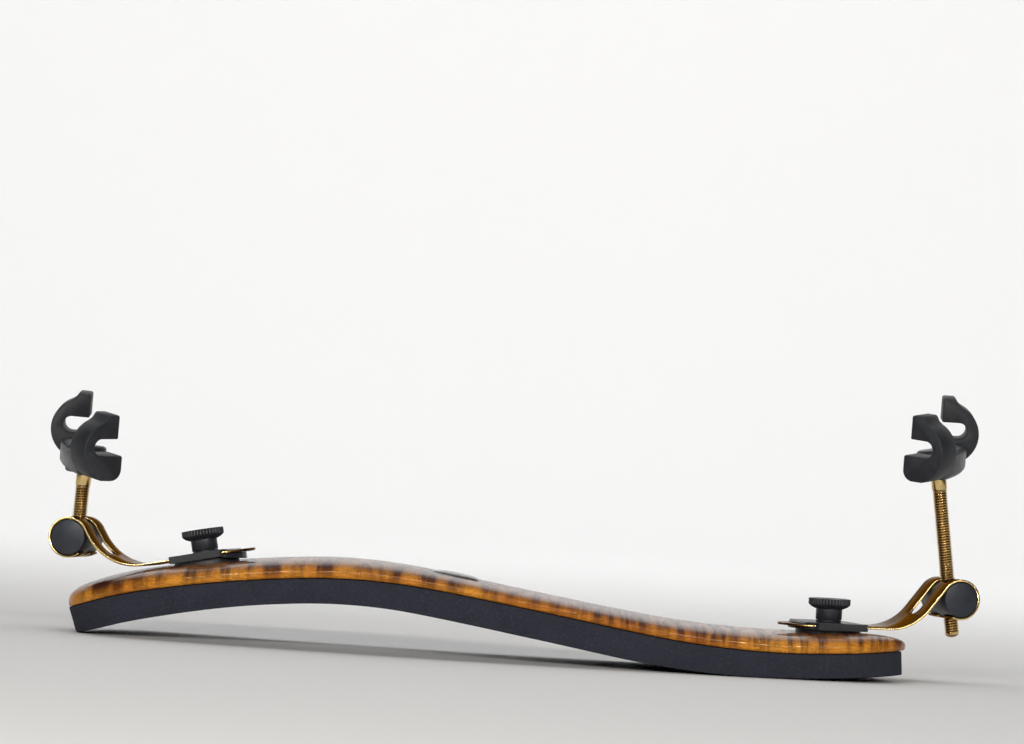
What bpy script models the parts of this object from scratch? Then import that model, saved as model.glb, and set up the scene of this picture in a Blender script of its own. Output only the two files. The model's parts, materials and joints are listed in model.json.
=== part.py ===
"""Violin shoulder rest: an S-curved maple base on a foam pad, with an adjustable folding leg at each end.

Each leg is a slotted brass strap that slides in a guide shoe, swivels with it on a thumb screw, and
wraps a barrel. A threaded rod screws through the barrel and carries a claw with two rubber feet, which
grip the edge of the violin's back.

Frame: +X points to the end with the long leg, +Y towards the violin's scroll and +Z up. The rest stands
on its foam, and the origin is the middle of its footprint on that surface. The constants are in
millimetres and degrees.
"""

import math

import bmesh
import bpy
from mathutils import Matrix, Vector

MM = 0.001

# Base: heights of the wood's underside along X, its thickness, and the bow of its centre line in plan.
ARCH = ((-101, 5.25), (-86.5, 10.1), (-66, 14.1), (-45, 16.6), (-31, 17.05), (-17, 16.15), (10, 12.4),
        (38, 8.05), (52, 6.6), (66, 6.1), (80, 6.6), (97, 7.9))
WOOD_LEFT, WOOD_RIGHT = -97.6, 93.2
BOW_RADIUS = 290.0
BOW_OFFSET = -17.0
WOOD_HALF_WIDTH = 22.0
WOOD_THICKNESS = ((-98, 4.3), (-80, 4.3), (-62, 4.1), (-45, 4.0), (-30, 3.85), (-3, 3.3), (15, 3.25),
                  (35, 3.55), (52, 3.9), (75, 4.15), (93, 4.1))
WOOD_EDGE_RADIUS = 1.0
CROWN_POWER = 2.6
END_LENGTH = 19.0
END_POWER = 2.3
END_SWEEP = 87.0
LEFT_NOSE, RIGHT_NOSE = 5.0, 14.0
NOSE_POWER = 2.2
WOOD_STATIONS = 30
END_STATIONS = 8

# Foam pad under the wood.
PAD_THICKNESS = ((-98, 5.6), (-88, 6.2), (-75, 6.1), (-62, 5.7), (-50, 5.5), (-28, 5.6), (-8, 5.95),
                 (27, 6.2), (41, 6.0), (55, 5.65), (64, 5.4), (93, 5.2))
PAD_GAP = 0.3
PAD_INSET = 0.3
PAD_LEFT, PAD_RIGHT = -96.6, 89.5

# Badge on the middle of the wood.
BADGE_X = -10.1
BADGE_RADIUS = 5.7
BADGE_HEIGHT = 0.8
BADGE_SINK = 1.1
BADGE_RIM = 0.09
BADGE_OVERHANG = 0.6

# Thumb screw, insert and washer on the clamp axis. Heights are above the seat, which is just over the
# middle of the wood.
SEAT_LEVEL = 4.4
SCREW_RADIUS = 1.75
SCREW_DEPTH = 3.2
SCREW_TOP = 5.0
INSERT_RADIUS = 2.7
INSERT_BORE = 2.0
INSERT_LENGTH = 3.4
INSERT_SINK = 0.2
WASHER_RADIUS = 3.0
WASHER_BORE = 2.1
WASHER_BOTTOM, WASHER_TOP = 2.2, 2.5
KNOB_BOTTOM = 2.6
KNOB_NECK_RADIUS = 3.05
KNOB_NECK_HEIGHT = 2.5
KNOB_CONE = ((3.05, 0.0), (4.2, 0.45), (4.75, 0.95))
KNOB_HEAD_RADIUS = 4.75
KNOB_HEAD_HEIGHT = 2.4
KNOB_EDGE = 0.25

# Guide shoe. X is along the strap from the clamp axis, positive outwards.
SHOE_BOTTOM, SHOE_TOP = 0.45, 2.1
TUNNEL_BOTTOM, TUNNEL_TOP = 0.9, 1.7
TUNNEL_HALF_WIDTH = 7.75
SHOE_HALF_WIDTH = 8.75
SHOE_OUTER = 6.5
SHOE_INNER = -6.0
LIP_RADIUS = 9.4
EAR_HALF_WIDTH = 9.5
EAR_INNER, EAR_OUTER = -5.9, 1.6
SHOE_HOLE = 2.3

# Leg strap.
STRAP_THICKNESS = 0.5
STRAP_HALF_WIDTH = 7.5
STRAP_LEVEL = 1.3
STRAP_REACH = 41.9
ROUND_END_STEPS = (80.0, 60.0, 40.8, 20.0, 0.0)
SLOT_START_STEP = 40.8
SLOT_HALF_WIDTH = 2.1
SLOT_END = 18.9
STRAP_BEND = 12.5
BEND_SOLID_TURN = 43.0
LOOP_GAP = 0.15
LOOP_END_ANGLE = 205.0
BEND_STEPS = 8
LOOP_STEPS = 27

# Barrel and threaded rod.
BARREL_RADIUS = 4.1
BARREL_HALF_LENGTH = 7.75
BARREL_BORE = 1.95
ROD_RADIUS = 1.75
ROD_IN_HUB = 5.0
ROD_TIP = 0.8
ROD_NECK_RADIUS = 1.2
COLLAR_LENGTH = 2.8
COLLAR_RADIUS = 1.78
COLLAR_BORE = 1.35
COLLAR_GAP = 0.1

# Claw: a yoke bowed in plan, and a rubber foot on each of its pegs.
YOKE_BOTTOM, YOKE_TOP = 1.6, 6.4
HUB_BOTTOM, HUB_TOP = 0.3, 6.9
YOKE_HALF_WIDTH = 3.2
YOKE_SAG = 2.7
YOKE_BULGE = 2.2
YOKE_END = 13.1
YOKE_EDGE = 1.0
HUB_RADIUS = 4.6
HUB_BORE = 2.05
HUB_BORE_DEPTH = 5.4
PEG_RADIUS = 1.4
PEG_LENGTH = 2.8
PEG_ROOT = 1.5
PEG_LEVEL = 4.0
FOOT_SPREAD = 16.7
FOOT_LEVEL = 8.5
FOOT_INSET = -1.3
FOOT_RADIUS = 7.1
FOOT_HALF_WIDTH = 3.2
FOOT_BEVEL = 0.5
FOOT_HOLE_DEPTH = 3.2
LIP_TOP = 8.5
LIP_WIDTH = 2.9
UPPER_JAW = 1.8
LOWER_JAW = 3.3
MOUTH_TOP, MOUTH_BOTTOM = 2.9, -1.0
MOUTH_DEPTH = 2.3
JAW_CORNER = 2.6

ROUND = 32
ROUND_SMALL = 24
ROUND_PEG = 16

# Gap between a piece and the neighbour that is cut for it, and how far cutters run past what they cut.
GAP = 0.3
CUT_PAST = 12.0

# The claw's two feet: which way along the claw each one lies on the right-hand leg, and its toe angle.
ENDS = (("front", -1, 22.0), ("rear", 1, 14.0))

# What differs between the two ends.
SIDES = {
    "left": {
        "seat_x": -68.0, "heading": 167.0, "pitch": 12.2, "mirror": -1,
        "barrel": (30.2, 10.3), "bend_start": 13.4, "lip_top": -6.2, "heel": 1.05,
        "lean": 2.8, "rod_above": 14.7, "rod_below": 4.6,
        "claw_turn": 26.5, "claw_pitch": 6.2, "claw_roll": 2.4,
    },
    "right": {
        "seat_x": 77.0, "heading": 18.0, "pitch": -0.3, "mirror": 1,
        "barrel": (29.8, 8.8), "bend_start": 12.2, "lip_top": -7.4, "heel": 0.0,
        "lean": 9.1, "rod_above": 28.2, "rod_below": 9.2,
        "claw_turn": 32.2, "claw_pitch": 2.9, "claw_roll": 10.0,
    },
}


def clear_scene():
    for obj in list(bpy.data.objects):
        bpy.data.objects.remove(obj, do_unlink=True)


def finish(name, color, roughness, metallic=0.0):
    """A Principled material of its own for one sub-part."""
    material = bpy.data.materials.new(name + "_finish")
    material.use_nodes = True
    shader = material.node_tree.nodes["Principled BSDF"]
    shader.inputs["Base Color"].default_value = (*color, 1.0)
    shader.inputs["Roughness"].default_value = roughness
    shader.inputs["Metallic"].default_value = metallic
    return material


BRASS = ((0.80, 0.58, 0.24), 0.22, 1.0)
STEEL = ((0.62, 0.62, 0.64), 0.30, 1.0)
BLACK_PLASTIC = ((0.030, 0.031, 0.036), 0.38)
BLACK_METAL = ((0.035, 0.036, 0.040), 0.32)
BLACK_RUBBER = ((0.022, 0.023, 0.026), 0.62)
FOAM_BLACK = ((0.035, 0.038, 0.050), 0.92)
MAPLE = ((0.48, 0.20, 0.05), 0.22)


def make_object(name, bm, look=None, parent=None, matrix=None, smooth=40.0):
    """Turn a bmesh in millimetres into a named object, smooth except at edges sharper than `smooth`."""
    bmesh.ops.scale(bm, vec=(MM, MM, MM), verts=bm.verts)
    bmesh.ops.recalc_face_normals(bm, faces=bm.faces)
    mesh = bpy.data.meshes.new(name)
    bm.to_mesh(mesh)
    bm.free()
    mesh.shade_smooth()
    mesh.set_sharp_from_angle(angle=math.radians(smooth))
    obj = bpy.data.objects.new(name, mesh)
    bpy.context.scene.collection.objects.link(obj)
    if look:
        mesh.materials.append(finish(name, *look))
    place(obj, parent, matrix)
    return obj


def place(obj, parent, matrix):
    if parent:
        obj.parent = parent
    if matrix:
        obj.matrix_local = matrix


def make_frame(name, parent, matrix):
    """An empty that carries the pieces of one joint."""
    frame = bpy.data.objects.new(name, None)
    frame.empty_display_size = 5 * MM
    bpy.context.scene.collection.objects.link(frame)
    place(frame, parent, matrix)
    return frame


def at(x, y, z):
    return Matrix.Translation(Vector((x, y, z)) * MM)


def turned(degrees, axis):
    return Matrix.Rotation(math.radians(degrees), 4, axis)


def use_tool(obj, tool, operation="DIFFERENCE"):
    """Cut or join with another object, which stays in the scene as a wire guide."""
    tool.hide_render = True
    tool.display_type = "WIRE"
    modifier = obj.modifiers.new(tool.name, "BOOLEAN")
    modifier.operation = operation
    modifier.solver = "EXACT"
    modifier.object = tool


def bevel(obj, width, segments=1, angle=50.0):
    modifier = obj.modifiers.new("edges", "BEVEL")
    modifier.width = width * MM
    modifier.segments = segments
    modifier.limit_method = "ANGLE"
    modifier.angle_limit = math.radians(angle)


def turned_solid(profile, segments=ROUND_SMALL):
    """Revolve (radius, height) points about Z. A point of radius 0 closes the solid on the axis."""
    bm = bmesh.new()
    rings = []
    for radius, height in profile:
        if radius == 0:
            rings.append([bm.verts.new((0, 0, height))])
            continue
        angles = [2 * math.pi * i / segments for i in range(segments)]
        rings.append([bm.verts.new((radius * math.cos(a), radius * math.sin(a), height)) for a in angles])
    for low, high in zip(rings, rings[1:] + rings[:1]):
        join_rings(bm, low, high)
    return bm


def join_rings(bm, low, high):
    """Faces between two rings of points, either of which may be a single point."""
    if len(low) == 1 and len(high) == 1:
        return
    count = max(len(low), len(high))
    for i in range(count):
        j = (i + 1) % count
        corners = [low[i % len(low)], low[j % len(low)], high[j % len(high)], high[i % len(high)]]
        bm.faces.new(list(dict.fromkeys(corners)))


def cylinder(radius, bottom, top, segments=ROUND_SMALL):
    return turned_solid([(0, bottom), (radius, bottom), (radius, top), (0, top)], segments)


def tube(outer, inner, bottom, top, segments=ROUND_SMALL):
    return turned_solid([(inner, bottom), (outer, bottom), (outer, top), (inner, top)], segments)


def prism(outline, half_width):
    """Extrude an (x, z) outline along Y, the same way on both sides of the XZ plane."""
    bm = bmesh.new()
    near = [bm.verts.new((x, -half_width, z)) for x, z in outline]
    far = [bm.verts.new((x, half_width, z)) for x, z in outline]
    bm.faces.new(near)
    bm.faces.new(list(reversed(far)))
    join_rings(bm, near, far)
    return bm


def arc(center, radius, start, end, steps):
    """Points on a circle, with angles in degrees."""
    points = []
    for i in range(steps + 1):
        angle = math.radians(start + (end - start) * i / steps)
        points.append((center[0] + radius * math.cos(angle), center[1] + radius * math.sin(angle)))
    return points


def smooth_curve(knots, x):
    """Value at x of a smooth cubic through the (x, value) knots."""
    last = len(knots) - 1
    i = max(0, min(last - 1, sum(1 for knot in knots[1:-1] if knot[0] <= x)))

    def slope(k):
        before, after = knots[max(k - 1, 0)], knots[min(k + 1, last)]
        return (after[1] - before[1]) / (after[0] - before[0])

    (x0, v0), (x1, v1) = knots[i], knots[i + 1]
    run = x1 - x0
    t = (x - x0) / run
    value = v0 * (1 + 2 * t) * (1 - t) ** 2 + v1 * t * t * (3 - 2 * t)
    return value + run * (slope(i) * t * (1 - t) ** 2 - slope(i + 1) * t * t * (1 - t))


def bow(x):
    return BOW_OFFSET + x * x / (2 * BOW_RADIUS)


def across(x):
    """Unit vector across the bowed base in plan."""
    slope = x / BOW_RADIUS
    return Vector((-slope, 1, 0)).normalized()


def base_stations():
    """(x, width factor, height factor) along the base, closing to rounded ends."""
    stations = []
    for side, tip, nose in ((-1, WOOD_LEFT, LEFT_NOSE), (1, WOOD_RIGHT, RIGHT_NOSE)):
        end = []
        for i in range(1, END_STATIONS + 1):
            angle = math.radians(END_SWEEP * i / END_STATIONS)
            reach = math.sin(angle) ** (2 / END_POWER)
            width = math.cos(angle) ** (2 / END_POWER)
            x = tip - side * END_LENGTH * (1 - reach)
            into_nose = max(0.0, 1 - abs(tip - x) / nose)
            end.append((x, width, (1 - into_nose ** NOSE_POWER) ** (1 / NOSE_POWER)))
        stations.append(end)
    left, right = WOOD_LEFT + END_LENGTH, WOOD_RIGHT - END_LENGTH
    middle = [(left + (right - left) * i / WOOD_STATIONS, 1.0, 1.0) for i in range(WOOD_STATIONS + 1)]
    return list(reversed(stations[0])) + middle + stations[1]


def wood_section(width, height):
    """(y, z) outline of the wood: flat below, rounded lower edges and a crowned top."""
    edge = min(WOOD_EDGE_RADIUS, width / 3, height / 3)
    near = [(-width + edge - edge * math.sin(a), edge - edge * math.cos(a)) for a in (0, 0.5, 1.05)]
    crown = []
    for i in range(13):
        angle = math.pi * (1 - i / 12)
        c, s = math.cos(angle), math.sin(angle)
        y = math.copysign(abs(c) ** (2 / CROWN_POWER), c) * width
        crown.append((y, edge + (height - edge) * abs(s) ** (2 / CROWN_POWER)))
    far = [(-y, z) for y, z in reversed(near)]
    return near + crown + far


def base_point(x, y, z):
    """World place of a point given along, across and above the base's underside."""
    foot = Vector((x, bow(x), 0)) + across(x) * y
    return foot + Vector((0, 0, smooth_curve(ARCH, foot.x) + z))


def lofted(sections):
    """Closed solid through a list of rings of points, all with the same count."""
    bm = bmesh.new()
    rings = [[bm.verts.new(point) for point in section] for section in sections]
    for low, high in zip(rings, rings[1:]):
        join_rings(bm, low, high)
    bm.faces.new(list(reversed(rings[0])))
    bm.faces.new(rings[-1])
    return bm


def make_wood_base(root):
    sections = []
    for x, width, height in base_stations():
        outline = wood_section(WOOD_HALF_WIDTH * width, smooth_curve(WOOD_THICKNESS, x) * height)
        sections.append([base_point(x, y, z) for y, z in outline])
    return make_object("wood_base", lofted(sections), MAPLE, root)


def make_foam_pad(root):
    stations = [(x, width) for x, width, _ in base_stations() if PAD_LEFT < x < PAD_RIGHT]
    stations = [(PAD_LEFT, end_width(PAD_LEFT))] + stations + [(PAD_RIGHT, end_width(PAD_RIGHT))]
    sections = []
    for x, width in stations:
        half = WOOD_HALF_WIDTH * width - PAD_INSET
        top, bottom = -PAD_GAP, -PAD_GAP - smooth_curve(PAD_THICKNESS, x)
        corners = ((-half, bottom), (half, bottom), (half, top), (-half, top))
        feet = [base_point(x, y, 0) for y, _ in corners]
        sections.append([foot + slab_normal(foot.x) * z for foot, (_, z) in zip(feet, corners)])
    return make_object("foam_pad", lofted(sections), FOAM_BLACK, root)


def end_width(x):
    """Width factor of the base's plan at x, inside a rounded end."""
    reach = 1 - min(x - WOOD_LEFT, WOOD_RIGHT - x) / END_LENGTH
    return (1 - reach ** END_POWER) ** (1 / END_POWER)


def slab_normal(x):
    step = 0.5
    slope = (smooth_curve(ARCH, x + step) - smooth_curve(ARCH, x - step)) / (2 * step)
    return Vector((-slope, 0, 1)).normalized()


def make_badge(root):
    """Blank low dome, let into a pocket in the wood."""
    tilt = slab_normal(BADGE_X).to_track_quat("Z", "Y").to_matrix().to_4x4()
    foot = base_point(BADGE_X, 0, smooth_curve(WOOD_THICKNESS, BADGE_X))
    matrix = at(*foot) @ tilt
    r, h = BADGE_RADIUS, BADGE_HEIGHT
    dome = [(r * math.cos(a), h * math.sin(a)) for a in (0.15, 0.5, 0.85, 1.2)]
    stem = r - BADGE_OVERHANG
    profile = [(0, -BADGE_SINK), (stem, -BADGE_SINK), (stem, BADGE_RIM), (r, BADGE_RIM), *dome, (0, h)]
    badge = make_object("centre_badge", turned_solid(profile, ROUND), BLACK_PLASTIC, root, matrix)
    pocket = cylinder(stem + GAP, -BADGE_SINK - GAP, CUT_PAST)
    return badge, make_object("badge_pocket", pocket, None, root, matrix)


def seat_matrix(side):
    """Clamp axis frame just over the wood: X along the strap outwards, Z up the thumb screw."""
    x = side["seat_x"]
    foot = base_point(x, 0, SEAT_LEVEL)
    return at(*foot) @ turned(side["heading"], "Z") @ turned(side["pitch"], "Y")


def make_insert(name, seat):
    top, bottom = -INSERT_SINK, -INSERT_SINK - INSERT_LENGTH
    make_object(name + "_insert", tube(INSERT_RADIUS, INSERT_BORE, bottom, top), BRASS, seat)
    pocket = cylinder(INSERT_RADIUS + GAP, bottom - GAP, CUT_PAST)
    return make_object(name + "_insert_pocket", pocket, None, seat)


def make_shoe(name, seat, side):
    """Guide shoe: a flat sleeve outside the screw, two round lips inside it, and a wedge across it."""
    sleeve = [(SHOE_INNER, SHOE_BOTTOM), (SHOE_OUTER, SHOE_BOTTOM), (SHOE_OUTER, SHOE_TOP),
              (SHOE_INNER, SHOE_TOP)]
    shoe = make_object(name + "_guide_shoe", prism(sleeve, SHOE_HALF_WIDTH), BLACK_PLASTIC, seat)
    overlap = 1.0
    outline = [(-LIP_RADIUS, SHOE_BOTTOM - side["heel"]), (SHOE_INNER + overlap, SHOE_BOTTOM),
               (SHOE_INNER + overlap, SHOE_TOP), (side["lip_top"], SHOE_TOP),
               (-LIP_RADIUS, TUNNEL_BOTTOM)]
    lips = make_object(name + "_shoe_lips", prism(outline, LIP_RADIUS), None, seat)
    disc = cylinder(LIP_RADIUS, -CUT_PAST, CUT_PAST, ROUND)
    use_tool(lips, make_object(name + "_lip_disc", disc, None, seat), "INTERSECT")
    ears = [(EAR_INNER, SHOE_BOTTOM), (EAR_OUTER, SHOE_BOTTOM), (EAR_INNER, SHOE_TOP)]
    tunnel = [(-CUT_PAST, TUNNEL_BOTTOM), (CUT_PAST, TUNNEL_BOTTOM), (CUT_PAST, TUNNEL_TOP),
              (-CUT_PAST, TUNNEL_TOP)]
    use_tool(shoe, lips, "UNION")
    use_tool(shoe, make_object(name + "_shoe_ears", prism(ears, EAR_HALF_WIDTH), None, seat), "UNION")
    use_tool(shoe, make_object(name + "_shoe_tunnel", prism(tunnel, TUNNEL_HALF_WIDTH), None, seat))
    hole = cylinder(SHOE_HOLE, -CUT_PAST, CUT_PAST)
    use_tool(shoe, make_object(name + "_shoe_hole", hole, None, seat))
    return shoe


def strap_path(side):
    """Middle line of the strap as (x, z, half width, slotted): flat from its round end, up round a bend,
    and round the barrel."""
    barrel_x, barrel_z = side["barrel"]
    start = side["bend_start"]
    loop = BARREL_RADIUS + LOOP_GAP + STRAP_THICKNESS / 2
    run, drop = barrel_x - start, STRAP_LEVEL + STRAP_BEND - barrel_z
    steepest = math.asin((STRAP_BEND + loop) / math.hypot(run, drop)) - math.atan2(drop, run)
    steepest = math.degrees(steepest)
    path = []
    end = barrel_x - STRAP_REACH
    for step in ROUND_END_STEPS:
        turn = math.radians(step)
        x = end + STRAP_HALF_WIDTH * (1 - math.sin(turn))
        path.append((x, STRAP_LEVEL, STRAP_HALF_WIDTH * math.cos(turn), step <= SLOT_START_STEP))
    path.append((end + SLOT_END, STRAP_LEVEL, STRAP_HALF_WIDTH, False))
    bend = arc((start, STRAP_LEVEL + STRAP_BEND), STRAP_BEND, -90, steepest - 90, BEND_STEPS)
    for i, point in enumerate(bend):
        path.append((*point, STRAP_HALF_WIDTH, steepest * i / BEND_STEPS >= BEND_SOLID_TURN))
    wrap = arc((barrel_x, barrel_z), loop, 90 + steepest, 90 - LOOP_END_ANGLE, LOOP_STEPS)
    path += [(*point, STRAP_HALF_WIDTH, True) for point in wrap]
    return path


def make_strap(name, seat, side):
    bm = bmesh.new()
    path = strap_path(side)
    rows = []
    for x, z, half, _ in path:
        slot = min(SLOT_HALF_WIDTH, half / 2)
        rows.append([bm.verts.new((x, y, z)) for y in (-half, -slot, slot, half)])
    for (*_, slotted), row, after in zip(path, rows, rows[1:]):
        for i in range(3):
            if not (slotted and i == 1):
                bm.faces.new((row[i], row[i + 1], after[i + 1], after[i]))
    strap = make_object(name + "_leg_strap", bm, BRASS, seat, smooth=50.0)
    modifier = strap.modifiers.new("sheet", "SOLIDIFY")
    modifier.thickness = STRAP_THICKNESS * MM
    modifier.offset = 0
    modifier.use_even_offset = True
    return strap


def make_thumb_screw(name, seat):
    """Washer, screw and knob stacked on the clamp axis."""
    washer = tube(WASHER_RADIUS, WASHER_BORE, WASHER_BOTTOM, WASHER_TOP)
    make_object(name + "_clamp_washer", washer, BLACK_METAL, seat)
    tip = 0.5
    screw = [(0, -SCREW_DEPTH), (SCREW_RADIUS - tip, -SCREW_DEPTH), (SCREW_RADIUS, tip - SCREW_DEPTH),
             (SCREW_RADIUS, SCREW_TOP), (0, SCREW_TOP)]
    make_object(name + "_clamp_screw", turned_solid(screw), STEEL, seat)
    make_object(name + "_thumb_knob", turned_solid(knob_profile(), ROUND), BLACK_PLASTIC, seat)


def knob_profile():
    gap = 0.2
    shoulder = KNOB_BOTTOM + KNOB_NECK_HEIGHT
    top = shoulder + KNOB_HEAD_HEIGHT
    cone = [(radius, shoulder + rise) for radius, rise in KNOB_CONE]
    return [(0, SCREW_TOP + gap), (SCREW_RADIUS + gap, SCREW_TOP + gap), (SCREW_RADIUS + gap, KNOB_BOTTOM),
            (KNOB_NECK_RADIUS, KNOB_BOTTOM), *cone, (KNOB_HEAD_RADIUS, top - KNOB_EDGE),
            (KNOB_HEAD_RADIUS - KNOB_EDGE, top), (0, top)]


def make_barrel(name, barrel_frame):
    chamfer = 0.3
    profile = [(0, -BARREL_HALF_LENGTH), (BARREL_RADIUS - chamfer, -BARREL_HALF_LENGTH),
               (BARREL_RADIUS, chamfer - BARREL_HALF_LENGTH), (BARREL_RADIUS, BARREL_HALF_LENGTH - chamfer),
               (BARREL_RADIUS - chamfer, BARREL_HALF_LENGTH), (0, BARREL_HALF_LENGTH)]
    bm = turned_solid(profile, ROUND)
    bmesh.ops.rotate(bm, verts=bm.verts, matrix=Matrix.Rotation(math.pi / 2, 3, "X"))
    barrel = make_object(name + "_barrel", bm, BLACK_METAL, barrel_frame)
    bore = cylinder(BARREL_BORE, -CUT_PAST, CUT_PAST)
    use_tool(barrel, make_object(name + "_barrel_bore", bore, None, barrel_frame))
    return barrel


def make_rod(name, barrel_frame, side):
    """Screw that turns with the claw, and the collar its neck turns in."""
    bottom, entry = -side["rod_below"], side["rod_above"]
    neck = entry - COLLAR_LENGTH
    profile = [(0, bottom), (ROD_RADIUS - ROD_TIP, bottom), (ROD_RADIUS, bottom + ROD_TIP),
               (ROD_RADIUS, neck), (ROD_NECK_RADIUS, neck), (ROD_NECK_RADIUS, entry),
               (ROD_RADIUS, entry), (ROD_RADIUS, entry + ROD_IN_HUB), (0, entry + ROD_IN_HUB)]
    make_object(name + "_threaded_rod", turned_solid(profile), BRASS, barrel_frame)
    collar = tube(COLLAR_RADIUS, COLLAR_BORE, neck + COLLAR_GAP, entry - COLLAR_GAP)
    make_object(name + "_rod_collar", collar, BRASS, barrel_frame)


def yoke_edge(y, offset):
    """Point beside the yoke's bowed middle line, at y along the claw; a positive offset is outwards."""
    slope = 2 * YOKE_SAG * y / FOOT_SPREAD ** 2
    length = math.hypot(1, slope)
    x = YOKE_BULGE - YOKE_SAG * (y / FOOT_SPREAD) ** 2
    return x + offset / length, y + offset * slope / length


def make_yoke(name, hub_frame, claw, mirror):
    steps = 8
    ys = [YOKE_END * (2 * i / steps - 1) for i in range(steps + 1)]
    outline = [yoke_edge(y, YOKE_HALF_WIDTH) for y in ys]
    outline += [yoke_edge(y, -YOKE_HALF_WIDTH) for y in reversed(ys)]
    bm = bmesh.new()
    low = [bm.verts.new((x, y, YOKE_BOTTOM)) for x, y in outline]
    high = [bm.verts.new((x, y, YOKE_TOP)) for x, y in outline]
    join_rings(bm, low, high)
    bm.faces.new(list(reversed(low)))
    bm.faces.new(high)
    yoke = make_object(name + "_yoke", bm, BLACK_PLASTIC, claw)
    hub = cylinder(HUB_RADIUS, HUB_BOTTOM, HUB_TOP)
    use_tool(yoke, make_object(name + "_yoke_hub", hub, None, hub_frame), "UNION")
    bevel(yoke, YOKE_EDGE, 2)
    for end, way, toe in ENDS:
        peg = cylinder(PEG_RADIUS, -PEG_ROOT, PEG_LENGTH + GAP, ROUND_PEG)
        tool = make_object(f"{name}_{end}_peg", peg, None, claw, peg_matrix(way * mirror, toe))
        use_tool(yoke, tool, "UNION")
    bore = cylinder(HUB_BORE, -CUT_PAST, HUB_BORE_DEPTH)
    use_tool(yoke, make_object(name + "_yoke_bore", bore, None, hub_frame))
    return yoke


def foot_matrix(mirror, toe):
    """Foot frame in the claw: X outwards, Y out along the foot's axis."""
    center = at(FOOT_INSET, mirror * FOOT_SPREAD, FOOT_LEVEL)
    return center @ turned(mirror * toe, "Z")


def peg_matrix(mirror, toe):
    """Peg frame: Z along the peg from the yoke's end into the foot."""
    inner_face = at(0, -mirror * (FOOT_HALF_WIDTH + GAP), PEG_LEVEL - FOOT_LEVEL)
    return foot_matrix(mirror, toe) @ inner_face @ turned(-90 * mirror, "X")


def foot_outline():
    """Side view of a foot, X outwards: an open jaw with a raised lip on top."""
    mouth = (MOUTH_TOP + MOUTH_BOTTOM) / 2
    radius = (MOUTH_TOP - MOUTH_BOTTOM) / 2
    outline = [(-UPPER_JAW, MOUTH_TOP), (-UPPER_JAW, LIP_TOP - 0.4), (-UPPER_JAW + 0.4, LIP_TOP),
               (LIP_WIDTH - UPPER_JAW, LIP_TOP), (LIP_WIDTH - UPPER_JAW + 0.7, LIP_TOP - 1.2)]
    outline += arc((0, 0), FOOT_RADIUS, 68, -75, 15)
    corner = (-LOWER_JAW + JAW_CORNER, JAW_CORNER - FOOT_RADIUS + 0.2)
    outline += arc(corner, JAW_CORNER, -90, -180, 4)
    outline += [(-LOWER_JAW, MOUTH_BOTTOM - 0.3), (-LOWER_JAW + 0.3, MOUTH_BOTTOM)]
    outline += arc((MOUTH_DEPTH, mouth), radius, -90, 90, 6)
    return outline


def make_feet(name, claw, mirror):
    for end, way, toe in ENDS:
        bm = prism(list(reversed(foot_outline())), FOOT_HALF_WIDTH)
        foot = make_object(f"{name}_{end}_foot", bm, BLACK_RUBBER, claw, foot_matrix(way * mirror, toe))
        bevel(foot, FOOT_BEVEL, 1, 60.0)
        hole = cylinder(PEG_RADIUS + GAP, -PEG_ROOT, FOOT_HOLE_DEPTH + GAP, ROUND_PEG)
        place_of_peg = peg_matrix(way * mirror, toe)
        use_tool(foot, make_object(f"{name}_{end}_foot_hole", hole, None, claw, place_of_peg))


def make_claw(name, barrel_frame, side):
    """The hub turns with the rod as its axis, and the fork sits across it at the violin's edge."""
    mirror = side["mirror"]
    entry = at(0, 0, side["rod_above"]) @ turned(-mirror * side["claw_turn"], "Z")
    hub_frame = make_frame(name + "_hub_frame", barrel_frame, entry)
    set_over = turned(mirror * side["claw_pitch"], "X") @ turned(side["claw_roll"], "Y")
    claw = make_frame(name + "_claw_frame", hub_frame, set_over)
    make_yoke(name, hub_frame, claw, mirror)
    make_feet(name, claw, mirror)


def make_side(name, side, root, wood):
    seat = make_frame(name + "_seat_frame", root, seat_matrix(side))
    use_tool(wood, make_insert(name, seat))
    make_shoe(name, seat, side)
    make_strap(name, seat, side)
    make_thumb_screw(name, seat)
    barrel_x, barrel_z = side["barrel"]
    upright = turned(-side["pitch"] - side["lean"], "Y")
    barrel_frame = make_frame(name + "_barrel_frame", seat, at(barrel_x, 0, barrel_z) @ upright)
    make_barrel(name, barrel_frame)
    make_rod(name, barrel_frame, side)
    make_claw(name, barrel_frame, side)


def center_on_footprint(root):
    """Move everything so that the origin is the middle of the box, at its foot."""
    bpy.context.view_layer.update()
    graph = bpy.context.evaluated_depsgraph_get()
    low, high = Vector((9, 9, 9)), Vector((-9, -9, -9))
    for obj in bpy.data.objects:
        if obj.type != "MESH" or obj.hide_render:
            continue
        solid = obj.evaluated_get(graph)
        for vertex in solid.data.vertices:
            point = solid.matrix_world @ vertex.co
            low = Vector(map(min, low, point))
            high = Vector(map(max, high, point))
    root.location -= Vector(((low.x + high.x) / 2, (low.y + high.y) / 2, low.z))
    bpy.context.view_layer.update()


def main():
    clear_scene()
    root = make_frame("rest_frame", None, None)
    wood = make_wood_base(root)
    make_foam_pad(root)
    _, pocket = make_badge(root)
    use_tool(wood, pocket)
    for name, side in SIDES.items():
        make_side(name, side, root, wood)
    center_on_footprint(root)


main()
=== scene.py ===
"""Looks of the violin shoulder rest: fine meshes, materials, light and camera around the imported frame.

Lengths are in millimetres and angles in degrees until a mesh is made. Each leg's pieces are built in the
frames of its joints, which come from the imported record.
"""

import json
import math

import bmesh
import bpy
from mathutils import Matrix, Vector


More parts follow.
